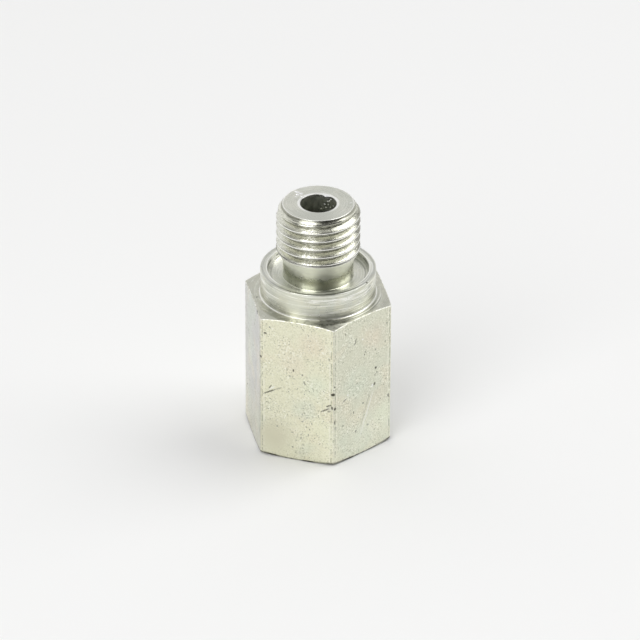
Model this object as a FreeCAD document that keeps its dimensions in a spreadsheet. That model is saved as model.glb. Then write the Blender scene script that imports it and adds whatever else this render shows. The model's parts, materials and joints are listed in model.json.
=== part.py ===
"""Straight adapter: a hexagonal body with a male stud on top and a female port underneath.

The adapter is turned and drilled from one length of hexagonal bar, so it is one body.
Millimetres. +Z runs along the flow passage from the port to the stud. The origin is on the
axis, in the end face of the port, on which the adapter stands. Two corners of the hexagon
lie on the X axis.
"""
import FreeCAD, Part
import os
import Sketcher

NODE = "adapter_body"
SHEET = "Sizes"

# Driving sizes in millimetres, with angles in degrees.
SIZES = [
    ("hex_across_flats", 22.0, "spanner size of the bar"),
    ("hex_length", 26.2, "from the port's end face to the shoulder"),
    ("hex_corner_radius", 0.7, "rounding of the six long corners"),
    ("chamfer_circle_diameter", 22.3, "where the turned chamfer starts on both ends"),
    ("chamfer_angle", 15.0, "slope of the turned chamfer from the end face"),
    ("collar_diameter", 19.0, "round collar that seats on the mating face"),
    ("collar_height", 4.6, "from the shoulder to the collar's rim"),
    ("collar_edge_radius", 0.12, "rounding of the rim's outer edge"),
    ("collar_foot_radius", 0.2, "fillet between the collar and the shoulder"),
    ("recess_mouth_diameter", 16.75, "seal recess at the rim"),
    ("recess_floor_diameter", 16.4, "seal recess at its floor"),
    ("recess_depth", 1.2, "from the rim to the recess floor"),
    ("stud_length", 12.0, "from the rim to the tip"),
    ("neck_diameter", 11.6, "undercut between the recess and the thread"),
    ("neck_root_radius", 0.25, "fillet at the foot of the neck"),
    ("crest_diameter", 13.8, "over the crests of the male thread, size 14 by 1.5"),
    ("thread_length", 8.0, "from the end of the run-out to the tip"),
    ("runout_length", 2.3, "cone between the neck and the thread"),
    ("tip_flat_diameter", 11.7, "flat end of the stud"),
    ("tip_chamfer_length", 1.6, "lead-in cone along the axis"),
    ("flow_bore_diameter", 6.0, "drilled passage through the stud"),
    ("port_drill_diameter", 15.25, "tapping drill of the female thread"),
    ("port_depth", 15.5, "from the end face to the end of the drilled wall"),
    ("port_mouth_diameter", 17.2, "lead-in chamfer at the end face"),
    ("port_chamfer_angle", 45.0, "slope of the lead-in chamfer"),
    ("drill_point_angle", 118.0, "included angle of the drill's point"),
]

# Heights and lengths that follow from the driving sizes.
RIM_HEIGHT = "Sizes.hex_length + Sizes.collar_height"
FLOOR_HEIGHT = RIM_HEIGHT + " - Sizes.recess_depth"
TIP_HEIGHT = RIM_HEIGHT + " + Sizes.stud_length"
THREAD_START = TIP_HEIGHT + " - Sizes.thread_length"
CORNER_DIAMETER = "Sizes.hex_across_flats / cos(30)"
BAR_RADIUS = CORNER_DIAMETER + " / 2"
CHAMFER_RADIUS = "Sizes.chamfer_circle_diameter / 2"
CHAMFER_DROP = "(" + BAR_RADIUS + " - " + CHAMFER_RADIUS + ") * tan(Sizes.chamfer_angle)"
MOUTH_DEPTH = "(Sizes.port_mouth_diameter - Sizes.port_drill_diameter) / 2 * tan(Sizes.port_chamfer_angle)"
DRILL_POINT = "Sizes.port_drill_diameter / 2 / tan(Sizes.drill_point_angle / 2)"

SAME_PLACE = 0.001


def make_sheet(doc):
    """Puts the driving sizes into a sheet, one named cell each."""
    sheet = doc.addObject("Spreadsheet::Sheet", SHEET)
    for row, (name, value, note) in enumerate(SIZES, start=1):
        sheet.set("A%d" % row, name)
        sheet.set("B%d" % row, "%g" % value)
        sheet.set("C%d" % row, note)
        sheet.setAlias("B%d" % row, name)
    doc.recompute()
    return sheet


def make_sketch(body, name, role):
    """Adds a sketch on one of the body's own origin planes."""
    planes = [plane for plane in body.Origin.OriginFeatures if plane.Role == role]
    sketch = body.newObject("Sketcher::SketchObject", name)
    sketch.AttachmentSupport = [(planes[0], "")]
    sketch.MapMode = "FlatFace"
    return sketch


def hold_corner(sketch, line, name, radius, height):
    """Ties the start of a line to its radius and height, which are formulas, or 0 on an axis."""
    for direction, axis, formula in (("DistanceX", -2, radius), ("DistanceY", -1, height)):
        if formula == "0":
            sketch.addConstraint(Sketcher.Constraint("PointOnObject", line, 1, axis))
            continue
        value = float(sketch.evalExpression(formula))
        index = sketch.addConstraint(Sketcher.Constraint(direction, -1, 1, line, 1, value))
        label = name + ("_radius" if direction == "DistanceX" else "_height")
        sketch.renameConstraint(index, label)
        sketch.setExpression("Constraints." + label, formula)


def draw_profile(sketch, corners):
    """Draws a closed outline of straight lines through named corners (radius, height)."""
    points = [
        FreeCAD.Vector(
            float(sketch.evalExpression(radius)), float(sketch.evalExpression(height)), 0)
        for name, radius, height in corners
    ]
    lines = []
    for start, end in zip(points, points[1:] + points[:1]):
        lines.append(sketch.addGeometry(Part.LineSegment(start, end), False))
    for line, after in zip(lines, lines[1:] + lines[:1]):
        sketch.addConstraint(Sketcher.Constraint("Coincident", line, 2, after, 1))
    for line, (name, radius, height) in zip(lines, corners):
        hold_corner(sketch, line, name, radius, height)


def turn(body, kind, name, profiles):
    """Revolves closed profiles in the XZ plane about the axis, as a Revolution or a Groove."""
    sketch = make_sketch(body, name + "Profile", "XZ_Plane")
    for corners in profiles:
        draw_profile(sketch, corners)
    volume_before = body.Shape.Volume
    feature = body.newObject("PartDesign::" + kind, name)
    feature.Profile = sketch
    feature.ReferenceAxis = (sketch, ["V_Axis"])
    feature.Angle = 360
    sketch.Visibility = False
    body.Document.recompute()
    change = feature.Shape.Volume - volume_before
    if (kind == "Groove") != (change < 0):
        raise RuntimeError(name + " changed the volume by %.3f" % change)
    return feature


def round_edges(body, name, radius_alias, chosen):
    """Rounds the edges of the newest feature that the test picks out."""
    base = body.Tip
    edges = ["Edge%d" % (i + 1) for i, edge in enumerate(base.Shape.Edges) if chosen(edge)]
    if not edges:
        raise RuntimeError(name + " found no edge")
    fillet = body.newObject("PartDesign::Fillet", name)
    fillet.Base = (base, edges)
    fillet.setExpression("Radius", "Sizes." + radius_alias)
    body.Document.recompute()
    return fillet


def is_circle_at(edge, radius, height):
    """Says whether an edge is a circle about the axis with this radius at this height."""
    curve = edge.Curve
    if not isinstance(curve, Part.Circle):
        return False
    return abs(curve.Radius - radius) < SAME_PLACE and abs(curve.Center.z - height) < SAME_PLACE


def is_upright(edge):
    """Says whether an edge is straight and parallel to the axis."""
    return isinstance(edge.Curve, Part.Line) and abs(edge.Curve.Direction.z) > 1 - SAME_PLACE


def make_hexagon(body):
    """The hexagonal bar, with its corners rounded and its two ends chamfered by turning."""
    sketch = make_sketch(body, "HexagonSketch", "XY_Plane")
    corner_radius = float(sketch.evalExpression(BAR_RADIUS))
    turns = [FreeCAD.Rotation(FreeCAD.Vector(0, 0, 1), 60 * side) for side in range(6)]
    corners = [rotation.multVec(FreeCAD.Vector(corner_radius, 0, 0)) for rotation in turns]
    for start, end in zip(corners, corners[1:] + corners[:1]):
        sketch.addGeometry(Part.LineSegment(start, end), False)
    around = Part.Circle(FreeCAD.Vector(0, 0, 0), FreeCAD.Vector(0, 0, 1), corner_radius)
    circle = sketch.addGeometry(around, True)
    sketch.addConstraint(Sketcher.Constraint("Coincident", circle, 3, -1, 1))
    for side in range(6):
        sketch.addConstraint(Sketcher.Constraint("Coincident", side, 2, (side + 1) % 6, 1))
        sketch.addConstraint(Sketcher.Constraint("PointOnObject", side, 1, circle))
    for side in range(5):
        sketch.addConstraint(Sketcher.Constraint("Equal", side, side + 1))
    sketch.addConstraint(Sketcher.Constraint("PointOnObject", 0, 1, -1))
    index = sketch.addConstraint(Sketcher.Constraint("Diameter", circle, 2 * corner_radius))
    sketch.renameConstraint(index, "across_corners")
    sketch.setExpression("Constraints.across_corners", CORNER_DIAMETER)

    pad = body.newObject("PartDesign::Pad", "Hexagon")
    pad.Profile = sketch
    pad.setExpression("Length", "Sizes.hex_length")
    sketch.Visibility = False
    body.Document.recompute()
    round_edges(body, "HexagonCorners", "hex_corner_radius", is_upright)

    upper_chamfer = [
        ("upper_inner", CHAMFER_RADIUS, "Sizes.hex_length"),
        ("upper_outer", BAR_RADIUS, "Sizes.hex_length"),
        ("upper_edge", BAR_RADIUS, "Sizes.hex_length - " + CHAMFER_DROP),
    ]
    lower_chamfer = [
        ("lower_inner", CHAMFER_RADIUS, "0"),
        ("lower_outer", BAR_RADIUS, "0"),
        ("lower_edge", BAR_RADIUS, CHAMFER_DROP),
    ]
    turn(body, "Groove", "HexagonChamfers", [upper_chamfer, lower_chamfer])


def make_turned_end(body):
    """The collar with its seal recess, and the stud with its neck, run-out and lead-in cone."""
    outline = [
        ("foot_centre", "0", "Sizes.hex_length"),
        ("collar_foot", "Sizes.collar_diameter / 2", "Sizes.hex_length"),
        ("rim_outer", "Sizes.collar_diameter / 2", RIM_HEIGHT),
        ("rim_inner", "Sizes.recess_mouth_diameter / 2", RIM_HEIGHT),
        ("recess_floor", "Sizes.recess_floor_diameter / 2", FLOOR_HEIGHT),
        ("neck_foot", "Sizes.neck_diameter / 2", FLOOR_HEIGHT),
        ("neck_top", "Sizes.neck_diameter / 2", THREAD_START + " - Sizes.runout_length"),
        ("thread_start", "Sizes.crest_diameter / 2", THREAD_START),
        ("lead_in", "Sizes.crest_diameter / 2", TIP_HEIGHT + " - Sizes.tip_chamfer_length"),
        ("tip_edge", "Sizes.tip_flat_diameter / 2", TIP_HEIGHT),
        ("tip_centre", "0", TIP_HEIGHT),
    ]
    turn(body, "Revolution", "CollarAndStud", [outline])


def make_passage(body):
    """The drilled female port with its lead-in chamfer, and the flow bore through the stud."""
    port = [
        ("mouth_centre", "0", "0"),
        ("mouth_edge", "Sizes.port_mouth_diameter / 2", "0"),
        ("wall_start", "Sizes.port_drill_diameter / 2", MOUTH_DEPTH),
        ("wall_end", "Sizes.port_drill_diameter / 2", "Sizes.port_depth"),
        ("drill_tip", "0", "Sizes.port_depth + " + DRILL_POINT),
    ]
    turn(body, "Groove", "FemalePort", [port])
    bore = [
        ("bore_start_centre", "0", "Sizes.port_depth"),
        ("bore_start", "Sizes.flow_bore_diameter / 2", "Sizes.port_depth"),
        ("bore_end", "Sizes.flow_bore_diameter / 2", TIP_HEIGHT),
        ("bore_end_centre", "0", TIP_HEIGHT),
    ]
    turn(body, "Groove", "FlowBore", [bore])


def round_turned_edges(body, sheet):
    """The small radii that the turning tool leaves on the collar and at the neck."""
    collar_radius = sheet.collar_diameter / 2
    rim_height = sheet.hex_length + sheet.collar_height
    floor_height = rim_height - sheet.recess_depth
    round_edges(body, "CollarEdge", "collar_edge_radius",
                lambda edge: is_circle_at(edge, collar_radius, rim_height))
    round_edges(body, "CollarFoot", "collar_foot_radius",
                lambda edge: is_circle_at(edge, collar_radius, sheet.hex_length))
    round_edges(body, "NeckRoot", "neck_root_radius",
                lambda edge: is_circle_at(edge, sheet.neck_diameter / 2, floor_height))


def check_document(doc, body):
    """Stops the build if any object failed or the body isn't one valid solid."""
    failed = [item.Name for item in doc.Objects
              if "Invalid" in item.State or "Error" in item.State]
    if failed:
        raise RuntimeError("failed objects: " + ", ".join(failed))
    shape = body.Shape
    if shape.isNull() or not shape.isValid() or len(shape.Solids) != 1:
        raise RuntimeError(body.Label + " isn't one valid solid")


def main():
    doc = FreeCAD.newDocument("StraightAdapter")
    sheet = make_sheet(doc)
    body = doc.addObject("PartDesign::Body", "AdapterBody")
    body.Label = NODE
    body.Placement = FreeCAD.Placement()
    make_hexagon(body)
    make_turned_end(body)
    make_passage(body)
    round_turned_edges(body, sheet)
    doc.recompute()
    check_document(doc, body)
    os.makedirs("parts", exist_ok=True)
    body.Shape.exportStep("parts/" + body.Label + ".step")
    box = body.Shape.optimalBoundingBox()
    print("%s: volume %.2f mm3, %.2f by %.2f by %.2f mm"
          % (body.Label, body.Shape.Volume, box.XLength, box.YLength, box.ZLength))


main()
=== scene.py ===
"""Looks of the straight adapter: one closed mesh with cut threads, its finish, light and camera.

The mesh is one grid that runs round the axis in columns. Its rows go from the male thread down
over the collar, the hexagon and the end face, into the female port, up the bore and over the tip.
Lengths are in millimetres until the mesh is made, and angles in degrees, unless a name or a
comment says otherwise.
"""
import json
import math
from collections import namedtuple

import bmesh
import bpy
import numpy as np
from mathutils import Matrix, Vector


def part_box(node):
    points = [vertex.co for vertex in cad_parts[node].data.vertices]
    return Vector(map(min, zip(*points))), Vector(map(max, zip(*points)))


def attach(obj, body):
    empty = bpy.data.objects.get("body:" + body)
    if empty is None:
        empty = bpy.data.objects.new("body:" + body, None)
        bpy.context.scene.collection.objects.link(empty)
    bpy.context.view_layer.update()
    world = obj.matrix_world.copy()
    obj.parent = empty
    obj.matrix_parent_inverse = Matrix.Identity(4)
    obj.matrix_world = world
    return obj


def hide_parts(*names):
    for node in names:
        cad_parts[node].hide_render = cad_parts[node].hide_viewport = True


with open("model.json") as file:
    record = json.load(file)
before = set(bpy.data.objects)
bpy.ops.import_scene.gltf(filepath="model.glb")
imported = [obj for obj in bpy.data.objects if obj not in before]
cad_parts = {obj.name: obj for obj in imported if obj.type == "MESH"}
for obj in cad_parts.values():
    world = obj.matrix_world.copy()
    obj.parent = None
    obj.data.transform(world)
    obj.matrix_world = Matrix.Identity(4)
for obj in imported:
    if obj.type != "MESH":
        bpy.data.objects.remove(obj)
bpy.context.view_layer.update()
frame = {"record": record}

NODE = "adapter_body"
MM = 0.001

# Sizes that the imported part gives.
MOUNTS = {mount["name"]: mount for mount in frame["record"]["mounts"]}
_, node_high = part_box(NODE)
TIP_HEIGHT = node_high.z / MM
HEX_APOTHEM = node_high.y / MM
CREST_RADIUS = MOUNTS["male_stud"]["dims"]["r_mm"]
PORT_RADIUS = MOUNTS["female_port"]["dims"]["r_mm"]
RIM_HEIGHT = MOUNTS["collar_face"]["pos_m"][2] / MM

# Hexagon.
HEX_LENGTH = 26.2
CORNER_ROUNDING = 0.7
CHAMFER_RADIUS = 11.15
CHAMFER_SLOPE = math.tan(math.radians(15))
# Where a flat lies inside the chamfer's circle, the end face's last row keeps this far from it.
CHAMFER_MARGIN = 0.35

# Collar, seal recess and neck.
COLLAR_RADIUS = 9.5
COLLAR_EDGE = 0.12
COLLAR_FOOT = 0.22
RECESS_MOUTH_RADIUS = 8.375
RECESS_FLOOR_RADIUS = 8.2
FLOOR_HEIGHT = RIM_HEIGHT - 1.2
NECK_RADIUS = 5.8
NECK_TOP = RIM_HEIGHT + 1.83
NECK_BLEND = 0.6
NECK_ROOT = 0.1
RECESS_CORNER = 0.05
WALL_TOP_DROP = 0.1
WALL_TOP_INSET = 0.015

# Bead and gap under the thread, and the ledge where the thread's groove fades out.
BEAD_STEP = 0.1
BEAD_RISE = 0.04
GAP_DEPTH = 0.34
GAP_DROP = 0.1
LEDGE_STEP = 0.03
LEDGE_FADE = 0.45
LEDGE_SHARE = 0.1

# Male thread, size 14 by 1.5, right-hand.
PITCH = 1.5
THREAD_DEPTH = 0.9
MALE_CREST_FLAT = 0.17
MALE_ROOT_FLAT = 0.22
MALE_FLANK_PLACES = (0, 0.03, 0.25, 0.5, 0.75, 0.97, 1)
THREAD_START = TIP_HEIGHT - 8.0
TIP_CHAMFER = 1.6
TIP_RADIUS = 5.85
WAVE_HEIGHT = 0.042
WAVE_LENGTH = 0.66
WAVE_START = 0.105
CREST_HEIGHT_IN_FRONT = 36.31
CREST_ANGLE_IN_FRONT = 290.6

# Female thread, size G 3/8, right-hand.
PORT_PITCH = 1.337
PORT_MAJOR_RADIUS = 8.33
PORT_CREST_FLAT = 0.38
PORT_ROOT_FLAT = 0.18
PORT_THREAD_END = 12.6
PORT_THREAD_FADE = 1.6
PORT_MOUTH_RADIUS = 8.6
PORT_DEPTH = 15.5
DRILL_POINT_SLOPE = math.tan(math.radians(59))
BORE_RADIUS = 3.0

# The heights between which the threads' rows run.
MALE_LOW = THREAD_START + 0.08
MALE_HIGH = TIP_HEIGHT - 0.04
FEMALE_LOW = 0.18
FEMALE_HIGH = PORT_THREAD_END + PORT_THREAD_FADE + 0.1
BEAD_HEIGHT = MALE_LOW - 0.4

# A helix is begun this many pitches below its thread. The male one's crest passes the place measured in
# front, which fixes where it starts.
HELIX_LEAD = 1.5
helix_base = MALE_LOW - HELIX_LEAD * PITCH
MALE_PHASE = CREST_ANGLE_IN_FRONT / 360 - (CREST_HEIGHT_IN_FRONT - helix_base) / PITCH

# Small edges and the fineness of the mesh.
EDGE = 0.06
HEX_EDGE = 0.1
FOOT_EDGE = 0.16
TIP_EDGE = 0.04
DRILL_EDGE = 0.1
SHARP_EDGE = 0.03
BORE_EDGE = 0.03
BORE_WEAR = 0.22
SURFACE_BLEND = 0.02
WELD_DISTANCE = 2e-4
HALF_SECTOR_COLUMNS = 21
COLUMN_CROWDING = 1.6
# The rows lie closer in this last length of the bore, where its chips are.
CHIPPED_LENGTH = 3.2

# Near a mark, edges longer than a cell are cut. Its reach is through the surface, its margin is round
# its outline, and its steepness is how fast the shade rises inwards from there.
MARK_CELL = 0.22
MARK_CUTS = 4
MARK_REACH = 0.6
MARK_MARGIN = 0.35
MARK_STEEPNESS = 2.5

# The chamfers' material ends this far from the hexagon's sides, just beyond the rounded edges.
TOP_BORDER = HEX_EDGE + 0.02
FOOT_BORDER = FOOT_EDGE + 0.04

# Burr on the far edge of the bore.
BURR_ANGLE = 84
BURR_SPREAD = 12
BURR_LENGTH = 0.55
BURR_THICKNESS = 0.25
BURR_ROOM = 0.4


def column_angles():
    """Angles of the columns in radians, crowded towards the hexagon's six corners."""
    steps = np.arange(HALF_SECTOR_COLUMNS) / HALF_SECTOR_COLUMNS
    rising = 30 * steps ** COLUMN_CROWDING
    falling = 60 - 30 * (1 - steps) ** COLUMN_CROWDING
    sector = np.concatenate([rising, falling])
    return np.radians(np.concatenate([sector + 60 * side for side in range(6)]))


ANGLES = column_angles()
COLUMNS = len(ANGLES)
AROUND = np.stack([np.cos(ANGLES), np.sin(ANGLES)], axis=1)


def hexagon_radius():
    """Distance from the axis to the hexagon's side or rounded corner, for each column."""
    from_corner = (np.degrees(ANGLES) + 30) % 60 - 30
    from_corner = np.radians(np.abs(from_corner))
    side = HEX_APOTHEM / np.cos(np.radians(30) - from_corner)
    centre = (HEX_APOTHEM - CORNER_ROUNDING) / math.cos(math.radians(30))
    inside = np.maximum(CORNER_ROUNDING ** 2 - (centre * np.sin(from_corner)) ** 2, 0)
    corner = centre * np.cos(from_corner) + np.sqrt(inside)
    tangent = math.atan2(CORNER_ROUNDING * 0.5, centre + CORNER_ROUNDING * math.cos(math.radians(30)))
    return np.where(from_corner < tangent, corner, side)


def ring(radius, height):
    """One row as (radius, height) for each column. Either may be a number or a column's array."""
    row = np.empty((COLUMNS, 2))
    row[:, 0] = radius
    row[:, 1] = height
    return row


def short_of(corner, other, distance):
    """The row that lies this distance before a corner's row, towards another row."""
    way = other - corner
    return corner + way / np.linalg.norm(way, axis=1, keepdims=True) * distance


def soften(corners):
    """Rows along a profile of straight runs with small rounded corners.

    Each corner is (row, rounding, steps): the run that follows it is cut into that many steps.
    """
    rows = [corners[0][0]]
    for index in range(1, len(corners)):
        before, here = corners[index - 1][0], corners[index][0]
        rounding = corners[index][1]
        run_in = here - before
        length_in = np.linalg.norm(run_in, axis=1, keepdims=True)
        arc_start = here - run_in / length_in * rounding
        start = rows[-1]
        steps = corners[index - 1][2]
        rows += [start + (arc_start - start) * step / steps for step in range(1, steps + 1)]
        if index == len(corners) - 1 or rounding == 0:
            continue
        run_out = corners[index + 1][0] - here
        arc_end = here + run_out / np.linalg.norm(run_out, axis=1, keepdims=True) * rounding
        for part in (1 / 3, 2 / 3, 1):
            rows.append((1 - part) ** 2 * arc_start + 2 * part * (1 - part) * here + part ** 2 * arc_end)
    return np.array(rows)


def grid_faces(row_count):
    """Faces between neighbouring rows, closed round the axis."""
    row, column = np.meshgrid(np.arange(row_count - 1), np.arange(COLUMNS), indexing="ij")
    after = (column + 1) % COLUMNS
    quads = np.stack([row * COLUMNS + column, row * COLUMNS + after,
                      (row + 1) * COLUMNS + after, (row + 1) * COLUMNS + column], axis=-1)
    return quads.reshape(-1, 4).tolist()


def thread_sheet(pitch, low, high, offsets, surface):
    """Rows that follow a right-hand helix between two heights, trimmed to a ring at each.

    offsets are the places of the rows within one pitch, and surface gives the radius for the
    place within the pitch and the height.
    """
    per_pitch = len(offsets)
    turns = int((high - low) / pitch) + 3
    stations = np.concatenate([offsets + turn for turn in range(turns)]) * pitch
    base = low - HELIX_LEAD * pitch
    rise = pitch * ANGLES / (2 * math.pi)
    heights = np.clip(base + stations[:, None] + rise[None, :], low, high)
    phase = ((heights - base - rise[None, :]) / pitch) % 1
    radii = surface(phase, heights)
    points = np.stack([radii, heights], axis=-1)

    faces = []
    station_count = len(stations)
    for station in range(station_count - 1):
        for column in range(COLUMNS):
            last = column == COLUMNS - 1
            across = 0 if last else column + 1
            lifted = station + per_pitch if last else station
            if lifted + 1 >= station_count:
                continue
            corners = [(station, column), (lifted, across), (lifted + 1, across), (station + 1, column)]
            levels = [heights[corner] for corner in corners]
            if levels[0] == levels[3] and levels[1] == levels[2]:
                continue
            faces.append([one * COLUMNS + two for one, two in corners])
    return points, faces


def groove_depth(phase, pitch, depth, crest_flat, root_flat):
    """How deep a thread's groove is at a place within the pitch. The crest is at place 0."""
    from_crest = np.abs((phase + 0.5) % 1 - 0.5) * pitch
    flank = (from_crest - crest_flat / 2) / (pitch / 2 - crest_flat / 2 - root_flat / 2)
    return depth * np.clip(flank, 0, 1)


def lower_of(first, second, blend):
    """The smaller of two surfaces, with a small rounding where they meet."""
    mix = np.clip(0.5 + (second - first) / (2 * blend), 0, 1)
    return second + (first - second) * mix - blend * mix * (1 - mix)


def male_surface(phase, heights):
    """Radius of the male thread inside its turned outline."""
    lead_in = TIP_RADIUS + (TIP_HEIGHT - heights) * (CREST_RADIUS - TIP_RADIUS) / TIP_CHAMFER
    wave = np.cos(2 * math.pi * (TIP_HEIGHT - heights + WAVE_START) / WAVE_LENGTH)
    outline = np.minimum(lead_in + WAVE_HEIGHT * wave, CREST_RADIUS)
    groove = groove_depth(phase + MALE_PHASE, PITCH, THREAD_DEPTH, MALE_CREST_FLAT, MALE_ROOT_FLAT)
    groove = groove * np.clip((heights - MALE_LOW) / LEDGE_FADE + LEDGE_SHARE, 0, 1)
    return lower_of(CREST_RADIUS - groove, outline, SURFACE_BLEND)


def female_surface(phase, heights):
    """Radius of the female thread outside its drilled outline."""
    outline = np.maximum(PORT_MOUTH_RADIUS - heights, PORT_RADIUS)
    fade = np.clip((PORT_THREAD_END + PORT_THREAD_FADE - heights) / PORT_THREAD_FADE, 0, 1)
    depth = PORT_MAJOR_RADIUS - PORT_RADIUS
    groove = groove_depth(phase, PORT_PITCH, depth, PORT_CREST_FLAT, PORT_ROOT_FLAT) * fade
    return -lower_of(-(PORT_RADIUS + groove), -outline, SURFACE_BLEND)


def thread_offsets(crest_flat, root_flat, flank_places):
    """Places of the rows within one pitch, from one crest to the next. The flats are in pitches too.

    flank_places are the rows' places on a flank, from 0 at its crest to 1 at its root.
    """
    half_crest = crest_flat / 2
    half_root = 0.5 - root_flat / 2
    falling = half_crest + (half_root - half_crest) * np.array(flank_places)
    rising = 1 - falling[::-1]
    return np.concatenate([[0], falling, [0.5], rising])


def leave_burr(rows):
    """Draws the rim of the bore inwards at one place, as the drill left it. Changes the rows."""
    from_burr = (np.degrees(ANGLES) - BURR_ANGLE + 180) % 360 - 180
    swell = np.exp(-(from_burr / BURR_SPREAD) ** 2)
    radii, heights = rows[..., 0], rows[..., 1]
    in_lip = np.clip((heights - TIP_HEIGHT) / BURR_THICKNESS + 1, 0, 1)
    on_rim = np.clip((BORE_RADIUS + BORE_WEAR + BURR_ROOM - radii) / BURR_ROOM, 0, 1)
    radii -= BURR_LENGTH * swell * in_lip * on_rim


def build_rows():
    """The patches of the mesh as a list of (rows, faces, material name)."""
    side = hexagon_radius()
    corner_drop = np.maximum(side - CHAMFER_RADIUS, 0) * CHAMFER_SLOPE
    chamfer_start = np.minimum(CHAMFER_RADIUS, side - CHAMFER_MARGIN)
    helix_place = (HELIX_LEAD - ANGLES / (2 * math.pi)) % 1
    ledge = male_surface(helix_place, np.full(COLUMNS, MALE_LOW))
    wall_top = ring(RECESS_MOUTH_RADIUS - WALL_TOP_INSET, RIM_HEIGHT - WALL_TOP_DROP)
    top = short_of(ring(side, HEX_LENGTH - corner_drop), ring(chamfer_start, HEX_LENGTH), TOP_BORDER)
    foot = short_of(ring(side, corner_drop), ring(chamfer_start, 0), FOOT_BORDER)

    neck = soften([
        (ring(ledge, MALE_LOW), 0, 2),
        (ring(CREST_RADIUS, MALE_LOW - LEDGE_STEP), 0, 1),
        (ring(CREST_RADIUS, MALE_LOW - 2 * LEDGE_STEP), 0, 1),
        (ring(CREST_RADIUS - GAP_DEPTH, MALE_LOW - GAP_DROP), 0, 1),
        (ring(CREST_RADIUS - GAP_DEPTH, BEAD_HEIGHT + BEAD_RISE), 0, 1),
        (ring(CREST_RADIUS - BEAD_STEP, BEAD_HEIGHT), SHARP_EDGE, 4),
        (ring(NECK_RADIUS, NECK_TOP), NECK_BLEND, 5),
        (ring(NECK_RADIUS, FLOOR_HEIGHT), NECK_ROOT, 6),
        (ring(RECESS_FLOOR_RADIUS, FLOOR_HEIGHT), RECESS_CORNER, 2),
        (wall_top, 0, 1),
    ])
    collar = soften([
        (wall_top, 0, 1),
        (ring(RECESS_MOUTH_RADIUS, RIM_HEIGHT), EDGE, 2),
        (ring(COLLAR_RADIUS, RIM_HEIGHT), COLLAR_EDGE, 10),
        (ring(COLLAR_RADIUS, HEX_LENGTH), COLLAR_FOOT, 5),
        (ring(chamfer_start, HEX_LENGTH), SHARP_EDGE, 4),
        (top, 0, 1),
    ])
    flats = soften([
        (top, 0, 1),
        (ring(side, HEX_LENGTH - corner_drop), HEX_EDGE, 36),
        (ring(side, corner_drop), FOOT_EDGE, 1),
        (foot, 0, 1),
    ])
    end_face = soften([
        (foot, 0, 3),
        (ring(chamfer_start, 0), SHARP_EDGE, 5),
        (ring(PORT_MOUTH_RADIUS, 0), EDGE, 2),
        (ring(PORT_MOUTH_RADIUS - FEMALE_LOW, FEMALE_LOW), 0, 1),
    ])
    drill_top = PORT_DEPTH + (PORT_RADIUS - BORE_RADIUS) / DRILL_POINT_SLOPE
    thread_end = -lower_of(-PORT_RADIUS, -PORT_RADIUS, SURFACE_BLEND)
    passage = soften([
        (ring(thread_end, FEMALE_HIGH), 0, 2),
        (ring(PORT_RADIUS, PORT_DEPTH), DRILL_EDGE, 3),
        (ring(BORE_RADIUS, drill_top), DRILL_EDGE, 4),
        (ring(BORE_RADIUS, TIP_HEIGHT - CHIPPED_LENGTH), 0, 6),
        (ring(BORE_RADIUS, TIP_HEIGHT - 2 * BURR_THICKNESS), 0, 1),
    ])
    tip = soften([
        (ring(BORE_RADIUS, TIP_HEIGHT - 2 * BURR_THICKNESS), 0, 6),
        (ring(BORE_RADIUS, TIP_HEIGHT - BORE_WEAR / 4), BORE_EDGE, 1),
        (ring(BORE_RADIUS + BORE_WEAR, TIP_HEIGHT), BORE_EDGE, 3),
        (ring(TIP_RADIUS, TIP_HEIGHT), TIP_EDGE, 3),
        (ring(male_surface(np.zeros(COLUMNS), np.full(COLUMNS, MALE_HIGH)), MALE_HIGH), 0, 1),
    ])
    leave_burr(tip)
    male_rows = thread_offsets(MALE_CREST_FLAT / PITCH, MALE_ROOT_FLAT / PITCH, MALE_FLANK_PLACES)
    male = thread_sheet(PITCH, MALE_LOW, MALE_HIGH, male_rows, male_surface)
    female_rows = thread_offsets(PORT_CREST_FLAT / PORT_PITCH, PORT_ROOT_FLAT / PORT_PITCH, (0, 1))
    female = thread_sheet(PORT_PITCH, FEMALE_LOW, FEMALE_HIGH, female_rows, female_surface)
    grids = [(neck, "recess"), (collar, "turned"), (flats, "drawn"), (end_face, "turned"),
             (passage, "drilled"), (tip, "faced")]
    patches = [(rows, grid_faces(len(rows)), material) for rows, material in grids]
    return patches + [(*male, "threaded"), (*female, "drilled")]


# A dent, pit or scratch: its middle, the directions along it, across it and into the metal, its length,
# width and depth, and its shade, from 1 for a black pit to -1 for a bright nick.
Mark = namedtuple("Mark", "middle along across inwards length width depth shade")


def on_flat(normal_degrees, sideways, height, length, width, depth, turned, shade):
    """A mark on one of the hexagon's sides, which faces normal_degrees. Sideways runs round the axis."""
    normal = Vector((math.cos(math.radians(normal_degrees)), math.sin(math.radians(normal_degrees)), 0))
    level = Vector((-normal.y, normal.x, 0))
    upright = Vector((0, 0, 1))
    turn = math.radians(turned)
    along = level * math.cos(turn) + upright * math.sin(turn)
    across = upright * math.cos(turn) - level * math.sin(turn)
    middle = normal * HEX_APOTHEM + level * sideways + upright * height
    return Mark(middle, along, across, -normal, length, width, depth, shade)


def on_turning(angle_degrees, radius, height, length, width, depth, inwards=(0, -1), shade=1):
    """A mark on a turned surface, longest round the axis. Inwards is (radial, upright)."""
    angle = math.radians(angle_degrees)
    outwards = Vector((math.cos(angle), math.sin(angle), 0))
    along = Vector((-outwards.y, outwards.x, 0))
    push = (outwards * inwards[0] + Vector((0, 0, inwards[1]))).normalized()
    middle = outwards * radius + Vector((0, 0, height))
    return Mark(middle, along, push.cross(along), push, length, width, depth, shade)


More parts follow.
